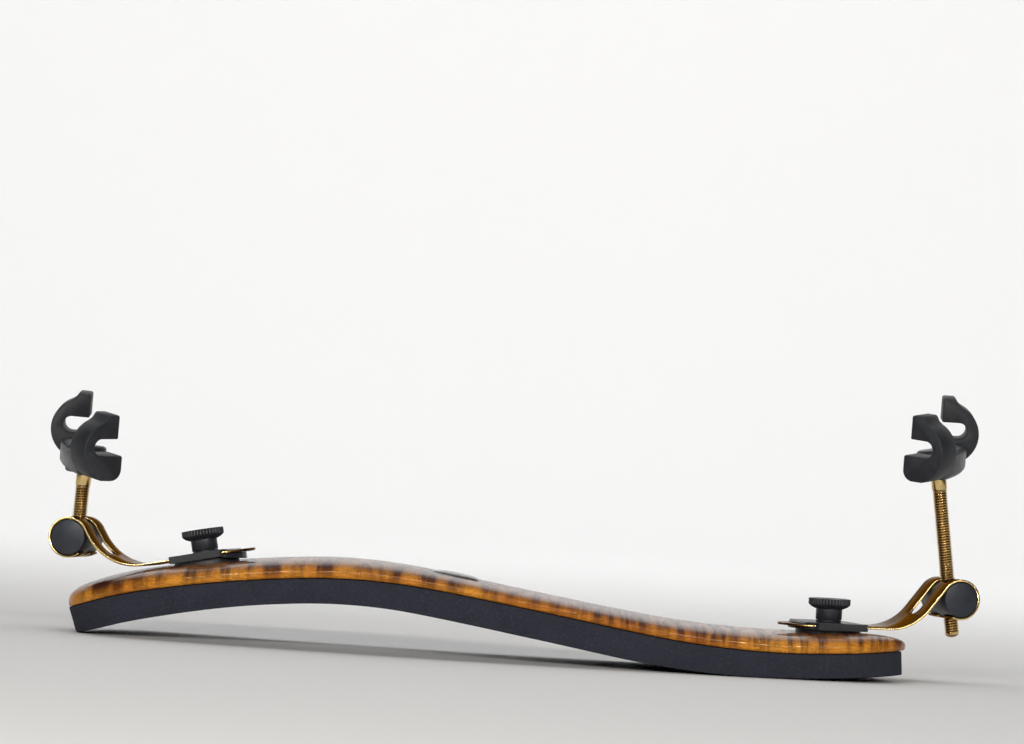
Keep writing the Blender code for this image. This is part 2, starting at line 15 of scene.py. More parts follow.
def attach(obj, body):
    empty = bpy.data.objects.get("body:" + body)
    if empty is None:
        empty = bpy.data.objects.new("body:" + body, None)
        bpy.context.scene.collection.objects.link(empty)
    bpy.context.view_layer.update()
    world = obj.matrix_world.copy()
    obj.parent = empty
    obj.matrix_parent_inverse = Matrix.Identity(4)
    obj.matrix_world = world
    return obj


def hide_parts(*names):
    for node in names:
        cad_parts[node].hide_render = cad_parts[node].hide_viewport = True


MM = 0.001

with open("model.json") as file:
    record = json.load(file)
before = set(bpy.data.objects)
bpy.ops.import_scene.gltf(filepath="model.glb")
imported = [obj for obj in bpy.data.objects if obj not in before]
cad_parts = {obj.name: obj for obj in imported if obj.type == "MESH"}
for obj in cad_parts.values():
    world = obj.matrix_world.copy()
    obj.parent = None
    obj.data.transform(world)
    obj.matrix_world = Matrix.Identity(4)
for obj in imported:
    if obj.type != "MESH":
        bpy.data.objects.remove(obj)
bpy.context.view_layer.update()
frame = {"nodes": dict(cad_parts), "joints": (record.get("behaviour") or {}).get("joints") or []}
JOINTS = {joint["name"]: joint for joint in frame["joints"]}

# ---------------------------------------------------------------- shape, mostly as the CAD has it

ARCH = ((-101, 5.25), (-86.5, 10.1), (-66, 14.1), (-45, 16.6), (-31, 17.05), (-17, 16.15), (10, 12.4),
        (38, 8.05), (52, 6.6), (66, 6.1), (80, 6.6), (97, 7.9))
WOOD_LEFT, WOOD_RIGHT = -97.6, 93.2
BOW_RADIUS, BOW_OFFSET = 290.0, -17.0
WOOD_HALF_WIDTH = 22.0
WOOD_THICKNESS = ((-98, 4.3), (-80, 4.3), (-62, 4.1), (-45, 4.0), (-30, 3.85), (-3, 3.3), (15, 3.25),
                  (35, 3.55), (52, 3.9), (75, 4.15), (93, 4.1))
WOOD_EDGE_RADIUS = 1.0
END_LENGTH = 19.0
END_POWER = 2.3
END_SWEEP = 87.0
LEFT_NOSE, RIGHT_NOSE = 5.0, 14.0
NOSE_POWER = 2.2
WOOD_STATIONS = 170
END_STATIONS = 26

PAD_THICKNESS = ((-98, 5.6), (-88, 6.2), (-75, 6.1), (-62, 5.7), (-50, 5.5), (-28, 5.6), (-8, 5.95),
                 (27, 6.2), (41, 6.0), (55, 5.65), (64, 5.4), (93, 5.2))
PAD_DROP = 0.3
PAD_INSET = 0.3
PAD_LEFT, PAD_RIGHT = -96.6, 89.5
PAD_CORNER = 0.35

BADGE_X = -10.1
BADGE_RADIUS = 5.7
BADGE_HEIGHT = 0.8
BADGE_SINK = 1.1
BADGE_RIM = 0.09
BADGE_OVERHANG = 0.6

SEAT_LEVEL = 4.4
SCREW_RADIUS = 1.75
SCREW_BOTTOM, SCREW_TOP = -3.2, 5.0
CLAMP_PITCH = 0.7
KNOB_BOTTOM, KNOB_SHOULDER = 2.6, 5.1
KNOB_NECK_RADIUS = 3.05
KNOB_CONE = ((3.05, 0.0), (3.3, 0.06), (4.2, 0.45), (4.6, 0.8))
KNOB_HEAD_RADIUS = 4.75
KNOB_HEAD_HEIGHT = 2.4
KNOB_RIBS = 38

STRAP_THICKNESS = 0.5
STRAP_HALF_WIDTH = 7.5
STRAP_LEVEL = 1.3
STRAP_REACH = 41.9
SLOT_HALF_WIDTH = 2.1
SLOT_START, SLOT_END = 2.6, 18.9
STRAP_BEND = 12.5
BEND_SOLID_TURN = 43.0
LOOP_GAP = 0.15
LOOP_END_ANGLE = 205.0

BARREL_RADIUS = 4.1
BARREL_HALF_LENGTH = 7.75
BARREL_BORE = 1.85
ROD_RADIUS = 1.75
ROD_PITCH = 0.6
ROD_IN_HUB = 4.6
COLLAR_LENGTH = 2.8
COLLAR_RADIUS = 1.78
COLLAR_BORE = 1.25
ROD_NECK = 1.2

YOKE_SAG, YOKE_BULGE = 2.7, 2.2
YOKE_BOTTOM, YOKE_TOP = 1.6, 6.4
YOKE_HALF_WIDTH = 3.2
YOKE_END = 13.1
HUB_RADIUS = 4.6
HUB_BOTTOM, HUB_TOP = 0.3, 6.9
HUB_BORE = 1.85
PEG_RADIUS = 1.4
PEG_LENGTH = 2.8
PEG_LEVEL = 4.0
FOOT_SPREAD = 16.7
FOOT_LEVEL = 8.5
FOOT_INSET = -1.3
FOOT_RADIUS = 7.1
FOOT_HALF_WIDTH = 3.2
LIP_TOP = 8.5
LIP_WIDTH = 2.9
UPPER_JAW, LOWER_JAW = 1.8, 3.3
MOUTH_TOP, MOUTH_BOTTOM = 2.9, -1.0
MOUTH_DEPTH = 2.3
JAW_CORNER = 2.6

ENDS = (("front", -1, 22.0), ("rear", 1, 14.0))
SIDES = {
    "left": {"seat_x": -68.0, "mirror": -1, "bend_start": 13.4, "rod_above": 14.7, "rod_below": 4.6,
             "claw_turn": 26.5, "claw_pitch": 6.2, "claw_roll": 2.4},
    "right": {"seat_x": 77.0, "mirror": 1, "bend_start": 12.2, "rod_above": 28.2, "rod_below": 9.2,
              "claw_turn": 32.2, "claw_pitch": 2.9, "claw_roll": 10.0},
}

# Finer or different on purpose: the bar's shoulder is squarer than the CAD bar's, the foam sits closer,
# the knob's head is serrated, the screws are cut, and a saddle fills the gap under each shoe.
CROWN_POWER = 3.5
PAD_GAP = 0.12
KNOB_RIB_DEPTH = 0.34
KNOB_RIB_POWER = 0.7
KNOB_SERRATION = 0.13
THREAD_DEPTH = 0.3
SHOE_UNDERSIDE = 0.45
SADDLE_RADIUS, SADDLE_HOLE = 7.6, 2.9
SADDLE_DEPTH = -3.0
SADDLE_GAP = 0.12
WELD_DISTANCE = 0.01

# ---------------------------------------------------------------- mesh tools


def make_object(name, bm, matrix=None, smooth=35.0):
    """Turn a bmesh in millimetres into a named object, smooth except at edges sharper than `smooth`."""
    bmesh.ops.scale(bm, vec=(MM, MM, MM), verts=bm.verts)
    bmesh.ops.recalc_face_normals(bm, faces=bm.faces)
    mesh = bpy.data.meshes.new(name)
    bm.to_mesh(mesh)
    bm.free()
    mesh.shade_smooth()
    mesh.set_sharp_from_angle(angle=math.radians(smooth))
    obj = bpy.data.objects.new(name, mesh)
    bpy.context.scene.collection.objects.link(obj)
    if matrix:
        obj.matrix_world = matrix
    return obj


def finish_piece(obj, look, body, slot, *nodes):
    """Give a piece its material and say what it rides on and stands for."""
    obj.data.materials.clear()
    obj.data.materials.append(look)
    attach(obj, body)
    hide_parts(*nodes)
    return obj


def apply_modifiers(obj, smooth=35.0):
    """Keep the modified mesh and shade it again."""
    bpy.context.view_layer.update()
    graph = bpy.context.evaluated_depsgraph_get()
    mesh = bpy.data.meshes.new_from_object(obj.evaluated_get(graph))
    obj.modifiers.clear()
    obj.data = mesh
    mesh.shade_smooth()
    mesh.set_sharp_from_angle(angle=math.radians(smooth))


def use_tool(obj, tool, operation="DIFFERENCE"):
    """Cut or join with another mesh, which is then removed."""
    modifier = obj.modifiers.new("tool", "BOOLEAN")
    modifier.operation = operation
    modifier.solver = "EXACT"
    modifier.object = tool
    apply_modifiers(obj)
    bpy.data.objects.remove(tool)


def bevel(obj, width, segments=2, angle=35.0):
    modifier = obj.modifiers.new("edges", "BEVEL")
    modifier.width = width * MM
    modifier.segments = segments
    modifier.limit_method = "ANGLE"
    modifier.angle_limit = math.radians(angle)
    modifier.harden_normals = True


def at(x, y, z):
    return Matrix.Translation(Vector((x, y, z)) * MM)


def turned(degrees, axis):
    return Matrix.Rotation(math.radians(degrees), 4, axis)


def join_rings(bm, low, high):
    """Faces between two rings of points, either of which may be a single point."""
    if len(low) == 1 and len(high) == 1:
        return
    count = max(len(low), len(high))
    for i in range(count):
        j = (i + 1) % count
        corners = [low[i % len(low)], low[j % len(low)], high[j % len(high)], high[i % len(high)]]
        bm.faces.new(list(dict.fromkeys(corners)))


def turned_solid(profile, segments=96, radius_at=None):
    """Revolve (radius, height) points about Z. radius_at may change the radius by angle and height."""
    bm = bmesh.new()
    rings = []
    for radius, height in profile:
        if radius == 0:
            rings.append([bm.verts.new((0, 0, height))])
            continue
        ring = []
        for i in range(segments):
            angle = 2 * math.pi * i / segments
            r = radius_at(radius, height, angle) if radius_at else radius
            ring.append(bm.verts.new((r * math.cos(angle), r * math.sin(angle), height)))
        rings.append(ring)
    for low, high in zip(rings, rings[1:] + rings[:1]):
        join_rings(bm, low, high)
    return bm


def cylinder(radius, bottom, top, segments=64):
    return turned_solid([(0, bottom), (radius, bottom), (radius, top), (0, top)], segments)


def prism(outline, half_width):
    """Extrude an (x, z) outline along Y, the same way on both sides of the XZ plane."""
    bm = bmesh.new()
    near = [bm.verts.new((x, -half_width, z)) for x, z in outline]
    far = [bm.verts.new((x, half_width, z)) for x, z in outline]
    bm.faces.new(near)
    bm.faces.new(list(reversed(far)))
    join_rings(bm, near, far)
    return bm


def lofted(sections):
    """Closed solid through a list of rings of points, all with the same count."""
    bm = bmesh.new()
    rings = [[bm.verts.new(point) for point in section] for section in sections]
    for low, high in zip(rings, rings[1:]):
        join_rings(bm, low, high)
    bm.faces.new(list(reversed(rings[0])))
    bm.faces.new(rings[-1])
    return bm


def arc(center, radius, start, end, steps):
    """Points on a circle, with angles in degrees."""
    points = []
    for i in range(steps + 1):
        angle = math.radians(start + (end - start) * i / steps)
        points.append((center[0] + radius * math.cos(angle), center[1] + radius * math.sin(angle)))
    return points


def smooth_curve(knots, x):
    """Value at x of a smooth cubic through the (x, value) knots."""
    last = len(knots) - 1
    i = max(0, min(last - 1, sum(1 for knot in knots[1:-1] if knot[0] <= x)))

    def slope(k):
        before, after = knots[max(k - 1, 0)], knots[min(k + 1, last)]
        return (after[1] - before[1]) / (after[0] - before[0])

    (x0, v0), (x1, v1) = knots[i], knots[i + 1]
    run = x1 - x0
    t = (x - x0) / run
    value = v0 * (1 + 2 * t) * (1 - t) ** 2 + v1 * t * t * (3 - 2 * t)
    return value + run * (slope(i) * t * (1 - t) ** 2 - slope(i + 1) * t * t * (1 - t))


# ---------------------------------------------------------------- where things are


def base_point(x, y, z):
    """Place, before the frame's shift, of a point given along, across and above the bar's underside."""
    slope = x / BOW_RADIUS
    across = Vector((-slope, 1, 0)).normalized()
    foot = Vector((x, BOW_OFFSET + x * x / (2 * BOW_RADIUS), 0)) + across * y
    return foot + Vector((0, 0, smooth_curve(ARCH, foot.x) + z))


def bar_normal(x):
    step = 0.5
    slope = (smooth_curve(ARCH, x + step) - smooth_curve(ARCH, x - step)) / (2 * step)
    return Vector((-slope, 0, 1)).normalized()


def joint_place(name):
    return Vector(JOINTS[name]["pos_m"])


SHIFT = joint_place("left_knob_turn") - base_point(SIDES["left"]["seat_x"], 0, SEAT_LEVEL) * MM
BAR_FRAME = Matrix.Translation(SHIFT)


def axes_frame(place, x, z):
    """Frame at a place with its Z along z and its X as near x as it can be."""
    z = Vector(z).normalized()
    y = z.cross(Vector(x)).normalized()
    matrix = Matrix((y.cross(z), y, z)).transposed().to_4x4()
    matrix.translation = place
    return matrix


def seat_frame(name):
    slide = JOINTS[name + "_leg_slide"]["axis"]
    return axes_frame(joint_place(name + "_knob_turn"), slide, JOINTS[name + "_knob_turn"]["axis"])


def barrel_frame(name):
    rod = Vector(JOINTS[name + "_claw_height"]["axis"])
    hinge = Vector(JOINTS[name + "_leg_fold"]["axis"])
    return axes_frame(joint_place(name + "_leg_fold"), hinge.cross(rod), rod)


def hub_frame(name, side):
    turn = turned(-side["mirror"] * side["claw_turn"], "Z")
    return barrel_frame(name) @ at(0, 0, side["rod_above"]) @ turn


def claw_frame(name, side):
    pitch, roll = turned(side["mirror"] * side["claw_pitch"], "X"), turned(side["claw_roll"], "Y")
    return hub_frame(name, side) @ pitch @ roll


# ---------------------------------------------------------------- materials


class Look:
    """A node material being built. Its patterns are in millimetres of the piece's own frame."""

    def __init__(self, name, **sockets):
        self.material = bpy.data.materials.new(name)
        self.material.use_nodes = True
        self.nodes = self.material.node_tree.nodes
        self.links = self.material.node_tree.links
        self.shader = self.nodes["Principled BSDF"]
        for socket, value in sockets.items():
            self.shader.inputs[socket.replace("_", " ")].default_value = value
        place = self.nodes.new("ShaderNodeTexCoord").outputs["Object"]
        self.place = self.vector("SCALE", place, scale=1 / MM)
        self.normal = None

    def plug(self, value, socket):
        if isinstance(value, bpy.types.NodeSocket):
            self.links.new(value, socket)
        else:
            socket.default_value = value

    def vector(self, operation, a, b=None, scale=None):
        node = self.nodes.new("ShaderNodeVectorMath")
        node.operation = operation
        self.plug(a, node.inputs[0])
        if b is not None:
            self.plug(b, node.inputs[1])
        if scale is not None:
            node.inputs["Scale"].default_value = scale
        return node.outputs["Vector"]

    def math(self, operation, a, b=0.0, c=0.0):
        node = self.nodes.new("ShaderNodeMath")
        node.operation = operation
        for value, socket in zip((a, b, c), node.inputs):
            self.plug(value, socket)
        return node.outputs[0]

    def attribute(self, name):
        """A number stored at the mesh's points."""
        node = self.nodes.new("ShaderNodeAttribute")
        node.attribute_name = name
        return node.outputs["Fac"]

    def across_share(self):
        """How far the surface faces along the piece's Y axis, from 0 to 1."""
        node = self.nodes.new("ShaderNodeSeparateXYZ")
        coordinates = self.nodes.new("ShaderNodeTexCoord")
        self.links.new(coordinates.outputs["Normal"], node.inputs[0])
        return self.math("ABSOLUTE", node.outputs["Y"])

    def from_axis(self):
        """Distance from the piece's Z axis, in millimetres."""
        node = self.nodes.new("ShaderNodeVectorMath")
        node.operation = "LENGTH"
        self.links.new(self.vector("MULTIPLY", self.place, (1, 1, 0)), node.inputs[0])
        return node.outputs["Value"]

    def noise(self, stretch, detail=4.0, roughness=0.55, distortion=0.0, shift=(0, 0, 0)):
        """Noise from 0 to 1 with the given number of features a millimetre along X, Y and Z."""
        if not isinstance(stretch, tuple):
            stretch = (stretch,) * 3
        node = self.nodes.new("ShaderNodeTexNoise")
        node.inputs["Scale"].default_value = 1.0
        node.inputs["Detail"].default_value = detail
        node.inputs["Roughness"].default_value = roughness
        node.inputs["Distortion"].default_value = distortion
        moved = self.vector("ADD", self.vector("MULTIPLY", self.place, stretch), shift)
        self.links.new(moved, node.inputs["Vector"])
        return node.outputs[0]

    def cells(self, scale):
        """Distance to the nearest of a field of random points, `scale` of them a millimetre."""
        node = self.nodes.new("ShaderNodeTexVoronoi")
        node.inputs["Scale"].default_value = scale
        self.links.new(self.place, node.inputs["Vector"])
        return node.outputs["Distance"]

    def ramp(self, value, *stops):
        """Map a value through (position, number or colour) stops."""
        node = self.nodes.new("ShaderNodeValToRGB")
        self.links.new(value, node.inputs[0])
        elements = node.color_ramp.elements
        for i, (position, color) in enumerate(stops):
            element = elements[i] if i < 2 else elements.new(position)
            element.position = position
            element.color = (*color, 1) if isinstance(color, tuple) else (color, color, color, 1)
        return node.outputs[0]

    def mix(self, share, a, b, blend="MIX"):
        node = self.nodes.new("ShaderNodeMix")
        node.data_type = "RGBA"
        node.blend_type = blend
        for value, socket in zip((share, a, b), (node.inputs[0], node.inputs[6], node.inputs[7])):
            self.plug((*value, 1) if isinstance(value, tuple) else value, socket)
        return node.outputs[2]

    def bump(self, height, depth, strength=1.0):
        """Add relief of the given depth in millimetres."""
        node = self.nodes.new("ShaderNodeBump")
        node.inputs["Strength"].default_value = strength
        node.inputs["Distance"].default_value = depth * MM
        self.links.new(height, node.inputs["Height"])
        if self.normal:
            self.links.new(self.normal, node.inputs["Normal"])
        self.normal = node.outputs[0]

    def done(self, color, roughness):
        self.plug(color, self.shader.inputs["Base Color"])
        self.plug(roughness, self.shader.inputs["Roughness"])
        if self.normal:
            self.links.new(self.normal, self.shader.inputs["Normal"])
        return self.material


def maple_look():
    """Flamed maple under a glossy varnish: flames darker towards the top, finer to the right, and grain,
    with painted shade darkening the bar's upper part.
    """
    look = Look("flamed_maple", Coat_Weight=0.45, Coat_Roughness=0.03, Coat_IOR=1.33,
                Specular_IOR_Level=0.04)
    height = look.attribute("height")
    wide = look.noise((0.24, 0.03, 0.05), 3, 0.5, 0.8)
    fine = look.noise((0.62, 0.04, 0.08), 2, 0.5, 0.6)
    fineness = look.ramp(look.attribute("along"), (0.45, 0.0), (0.65, 0.8))
    flames = look.math("MULTIPLY_ADD", fineness, look.math("SUBTRACT", fine, wide), wide)
    broad = look.noise((0.05, 0.02, 0.03), 2, 0.5, 0.4, (7, 3, 1))
    curl = look.math("ADD", look.math("MULTIPLY", flames, 0.8), look.math("MULTIPLY", broad, 0.2))
    dark = look.ramp(curl, (0.43, 1.0), (0.56, 0.0))
    reach = look.ramp(height, (0.10, 0.40), (0.65, 1.0))
    share = look.math("MULTIPLY", dark, reach)
    paleness = look.ramp(broad, (0.35, 0.0), (0.65, 1.0))
    gold = look.mix(paleness, (0.44, 0.140, 0.016), (0.70, 0.290, 0.034))
    color = look.mix(share, gold, (0.060, 0.012, 0.005))
    # Painted shade: the upper part of the bar is darkened towards its top, standing in for the dark
    # reflection there.
    painted_top_shade = look.ramp(height, (0.50, 0.0), (0.95, 0.6))
    color = look.mix(painted_top_shade, color, (0.085, 0.022, 0.008))
    grain = look.noise((0.06, 1.8, 1.8), 5, 0.6, 0.3)
    color = look.mix(1.0, color, look.ramp(grain, (0.30, 0.66), (0.62, 1.15)), "MULTIPLY")
    fleck = look.noise((1.1, 5.0, 5.0), 3, 0.6)
    color = look.mix(1.0, color, look.ramp(fleck, (0.36, 0.70), (0.56, 1.12)), "MULTIPLY")
    look.bump(look.noise(0.12, 2, 0.4), 0.06, 0.25)
    return look.done(color, look.ramp(curl, (0.3, 0.45), (0.7, 0.32)))


def foam_look():
    """Closed-cell foam: dark, matt, with a fine open grain, faint mottling and painted shade in its small
    pits.
    """
    look = Look("closed_cell_foam", Specular_IOR_Level=0.3)
    grain = look.noise(2.6, 5, 0.7)
    mottle = look.noise(0.18, 3, 0.5)
    color = look.mix(mottle, (0.019, 0.021, 0.032), (0.032, 0.035, 0.052))
    color = look.mix(look.ramp(grain, (0.52, 0.0), (0.72, 0.45)), color, (0.085, 0.092, 0.125))
    # Painted shade: near-black dots at the bottoms of the small pits that the bump below digs.
    cells = look.cells(2.4)
    color = look.mix(look.ramp(cells, (0.0, 0.55), (0.25, 0.0)), color, (0.006, 0.006, 0.009))
    look.bump(grain, 0.16, 0.7)
    look.bump(cells, 0.10, 0.5)
    return look.done(color, 0.93)


def brass_look(name="polished_brass", root=None, faces=None, **sockets):
    """Polished brass with faint clouding and hairlines.

    A thread's root radius is darkened, a painted shade in its grooves, and a strap's broad faces take the
    dark colour of `faces`, a painted shade on them.
    """
    look = Look(name, Metallic=1.0, **sockets)
    clouds = look.noise(0.35, 4, 0.6)
    dullness = look.ramp(clouds, (0.35, 0.0), (0.70, 1.0))
    color = look.mix(dullness, (0.84, 0.63, 0.29), (0.70, 0.48, 0.18))
    look.bump(look.noise((0.4, 9.0, 9.0), 3, 0.6), 0.010, 0.35)
    spots = look.ramp(look.noise(1.8, 3, 0.6), (0.60, 0.0), (0.75, 0.35))
    color = look.mix(spots, color, (0.42, 0.24, 0.08))
    # Painted shade in a thread's grooves: darker towards its root radius.
    if root:
        depth = look.math("DIVIDE", look.math("SUBTRACT", look.from_axis(), root), THREAD_DEPTH)
        color = look.mix(look.ramp(depth, (0.10, 0.85), (0.65, 0.0)), color, (0.15, 0.075, 0.022))
    # Painted shade: broad faces, whose normals turn away from the piece's Y axis, take the dark colour of
    # `faces`; the edges stay bright brass.
    if faces:
        color = look.mix(look.ramp(look.across_share(), (0.35, 1.0), (0.70, 0.0)), color, faces)
    return look.done(color, look.ramp(clouds, (0.3, 0.13), (0.7, 0.24)))


def steel_look():
    """Turned steel with fine rings round its axis."""
    look = Look("turned_steel", Metallic=1.0)
    rings = look.noise((0.1, 0.1, 14.0), 2, 0.5)
    look.bump(rings, 0.01, 0.4)
    color = look.mix(look.noise(0.6, 3), (0.50, 0.50, 0.52), (0.66, 0.66, 0.68))
    return look.done(color, look.ramp(rings, (0.3, 0.24), (0.7, 0.36)))


def plastic_look():
    """Black moulded plastic: a fine spark-eroded grain and slightly polished patches."""
    look = Look("black_moulding", IOR=1.5)
    grain = look.noise(5.0, 3, 0.6)
    wear = look.noise(0.5, 4, 0.6)
    color = look.mix(wear, (0.019, 0.021, 0.027), (0.036, 0.039, 0.049))
    look.bump(grain, 0.030, 0.45)
    return look.done(color, look.ramp(wear, (0.3, 0.30), (0.7, 0.46)))


def gloss_look():
    """Smooth black lacquer for the badge."""
    look = Look("black_gloss", Coat_Weight=0.6, Coat_Roughness=0.08)
    specks = look.noise(3.0, 4, 0.6)
    color = look.mix(specks, (0.008, 0.008, 0.010), (0.016, 0.016, 0.019))
    look.bump(specks, 0.010, 0.2)
    return look.done(color, look.ramp(specks, (0.3, 0.22), (0.7, 0.32)))


def anodised_look():
    """Black anodised metal with turning marks along its axis."""
    look = Look("black_anodised", Metallic=0.35)
    rings = look.noise((0.15, 9.0, 0.15), 2, 0.5)
    clouds = look.noise(0.4, 3, 0.5)
    color = look.mix(clouds, (0.022, 0.026, 0.034), (0.038, 0.044, 0.056))
    look.bump(rings, 0.015, 0.4)
    return look.done(color, look.ramp(clouds, (0.3, 0.32), (0.7, 0.46)))


def rubber_look():
    """Moulded rubber: matt, with a pale bloom in patches and a soft grain."""
    look = Look("black_rubber", Sheen_Weight=0.05, Sheen_Roughness=0.5)
    bloom = look.noise(0.45, 5, 0.65)
    paleness = look.ramp(bloom, (0.42, 0.0), (0.75, 1.0))
    color = look.mix(paleness, (0.010, 0.012, 0.016), (0.024, 0.028, 0.037))
    look.bump(look.noise(3.5, 4, 0.6), 0.045, 0.5)
    return look.done(color, look.ramp(bloom, (0.3, 0.48), (0.7, 0.66)))


LOOKS = {
    "maple": maple_look(), "foam": foam_look(), "badge": gloss_look(), "black_plastic": plastic_look(),
    "black_metal": anodised_look(), "brass": brass_look(), "steel": steel_look(), "rubber": rubber_look(),
    # The threaded brass carries painted shade in its thread grooves.
    "threaded_brass_shaded_roots": brass_look("threaded_brass_shaded_roots", ROD_RADIUS - THREAD_DEPTH),
    # The leaf brass carries painted shade on the strap's broad faces.
    "leaf_brass_shaded_faces": brass_look("leaf_brass_shaded_faces", faces=(0.16, 0.095, 0.050),
                             Specular_Tint=(0.45, 0.34, 0.25, 1.0)),
}

# ---------------------------------------------------------------- bar, foam and badge


def base_stations():
    """(x, width factor, height factor) along the bar, closing to rounded ends."""
    stations = []
    for side, tip, nose in ((-1, WOOD_LEFT, LEFT_NOSE), (1, WOOD_RIGHT, RIGHT_NOSE)):
        end = []
        for i in range(1, END_STATIONS + 1):
            angle = math.radians(END_SWEEP * i / END_STATIONS)
            reach = math.sin(angle) ** (2 / END_POWER)
            width = math.cos(angle) ** (2 / END_POWER)
            x = tip - side * END_LENGTH * (1 - reach)
            into_nose = max(0.0, 1 - abs(tip - x) / nose)
            end.append((x, width, (1 - into_nose ** NOSE_POWER) ** (1 / NOSE_POWER)))
        stations.append(end)
    left, right = WOOD_LEFT + END_LENGTH, WOOD_RIGHT - END_LENGTH
    middle = [(left + (right - left) * i / WOOD_STATIONS, 1.0, 1.0) for i in range(WOOD_STATIONS + 1)]
    return list(reversed(stations[0])) + middle + stations[1]


def wood_section(width, height):
    """(y, z) outline of the bar: flat below, rounded lower edges and a crowned top."""
    edge = min(WOOD_EDGE_RADIUS, width / 3, height / 3)
    near = [(-width + edge - edge * math.sin(a), edge - edge * math.cos(a))
            for a in (0, 0.2, 0.4, 0.6, 0.8, 1.0, 1.2, 1.4)]
    crown = []
    steps = 44
    for i in range(steps + 1):
        angle = math.pi * (1 - i / steps)
        c, s = math.cos(angle), math.sin(angle)
        y = math.copysign(abs(c) ** (2 / CROWN_POWER), c) * width
        crown.append((y, edge + (height - edge) * abs(s) ** (2 / CROWN_POWER)))
    far = [(-y, z) for y, z in reversed(near)]
    return near + crown + far


def end_width(x):
    """Width factor of the bar's plan at x, inside a rounded end."""
    reach = 1 - min(x - WOOD_LEFT, WOOD_RIGHT - x) / END_LENGTH
    return (1 - reach ** END_POWER) ** (1 / END_POWER)


def make_wood():
    """The bar. Its points store, from about 0 to 1, how high in its thickness and how far along they are."""
    sections, heights, along = [], [], []
    for x, width, height in base_stations():
        thickness = smooth_curve(WOOD_THICKNESS, x)
        outline = wood_section(WOOD_HALF_WIDTH * width, thickness * height)
        sections.append([base_point(x, y, z) for y, z in outline])
        heights += [z / thickness for _, z in outline]
        along += [0.5 + x / 200.0] * len(outline)
    wood = make_object("maple_bar", lofted(sections), BAR_FRAME, 60)
    wood.data.attributes.new("height", "FLOAT", "POINT").data.foreach_set("value", heights)
    wood.data.attributes.new("along", "FLOAT", "POINT").data.foreach_set("value", along)
    return finish_piece(wood, LOOKS["maple"], "base", "maple", "wood_base")


def pad_section(half, bottom, top):
    """(y, z) outline of the foam: a rectangle with rounded corners."""
    r = PAD_CORNER
    points = arc((half - r, bottom + r), r, -90, 0, 4) + arc((half - r, top - r), r, 0, 90, 4)
    points += arc((r - half, top - r), r, 90, 180, 4) + arc((r - half, bottom + r), r, 180, 270, 4)
    return points


def make_foam():
    inside = [(x, width) for x, width, _ in base_stations() if PAD_LEFT < x < PAD_RIGHT]
    stations = [(PAD_LEFT, end_width(PAD_LEFT))] + inside + [(PAD_RIGHT, end_width(PAD_RIGHT))]
    sections = []
    for i, (x, width) in enumerate(stations):
        tuck = PAD_CORNER if i in (0, len(stations) - 1) else 0.0
        half = WOOD_HALF_WIDTH * width - PAD_INSET - tuck
        bottom = tuck - PAD_DROP - smooth_curve(PAD_THICKNESS, x)
        section = []
        for y, z in pad_section(half, bottom, -PAD_GAP - tuck):
            foot = base_point(x, y, 0)
            section.append(foot + bar_normal(foot.x) * z)
        sections.append(section)
    foam = make_object("foam_pad_cover", lofted(sections), BAR_FRAME, 50)
    finish_piece(foam, LOOKS["foam"], "base", "foam", "foam_pad")
    return foam


def make_badge():
    tilt = bar_normal(BADGE_X).to_track_quat("Z", "Y").to_matrix().to_4x4()
    foot = base_point(BADGE_X, 0, smooth_curve(WOOD_THICKNESS, BADGE_X))
    r, h = BADGE_RADIUS, BADGE_HEIGHT
    stem = r - BADGE_OVERHANG
    dome = [(r * math.cos(a), h * math.sin(a)) for a in (0.14, 0.25, 0.4, 0.55, 0.7, 0.85, 1.0, 1.2, 1.4)]
    profile = [(0, -BADGE_SINK), (stem, -BADGE_SINK), (stem, BADGE_RIM), (r, BADGE_RIM), *dome, (0, h)]
    badge = make_object("badge_dome", turned_solid(profile), BAR_FRAME @ at(*foot) @ tilt)
    return finish_piece(badge, LOOKS["badge"], "base", "badge", "centre_badge")


# ---------------------------------------------------------------- clamp


def thread_profile(phase):
    """Height of a thread's flank, 0 at the root and 1 at the crest, over one turn of phase."""
    wave = abs((phase % 1.0) * 2 - 1)
    return min(1.0, max(0.0, (wave - 0.12) / 0.70))


def threaded_shaft(radius, bottom, top, pitch, rest, round_tip=0.8):
    """Screw along Z: a rounded tip, a thread up to `top`, then the (radius, height) points of `rest`."""
    tip = [(radius * math.sin(a), bottom + round_tip * (1 - math.cos(a)))
           for a in (0.35, 0.7, 1.0, 1.25)]
    rows = 12
    count = int((top - bottom - round_tip) / pitch * rows)
    heights = [bottom + round_tip + (top - bottom - round_tip) * i / count for i in range(count + 1)]
    profile = [(0, bottom)] + tip + [(radius, z) for z in heights] + rest

    def radius_at(r, z, angle):
        if r < radius or z > top:
            return r
        fade = min(1.0, (z - bottom - round_tip * 0.6) / pitch, (top - z) / pitch * 2)
        cut = THREAD_DEPTH * (1 - thread_profile(z / pitch - angle / (2 * math.pi)))
        return r - cut * max(0.0, fade)

    return turned_solid(profile, 48, radius_at)


def ribbed(r, z, angle):
    """Ribs round the knob's head and cone, fading out towards the neck and the top edge."""
    if r <= KNOB_NECK_RADIUS + 0.1:
        return r
    wave = abs(math.sin(angle * KNOB_RIBS / 2)) ** KNOB_RIB_POWER
    share = min(1.0, (r - KNOB_NECK_RADIUS) / 1.2)
    top = KNOB_SHOULDER + KNOB_HEAD_HEIGHT
    share *= min(1.0, (top - z) / 0.12 + 0.15)
    return r - KNOB_RIB_DEPTH * share * (1 - wave)


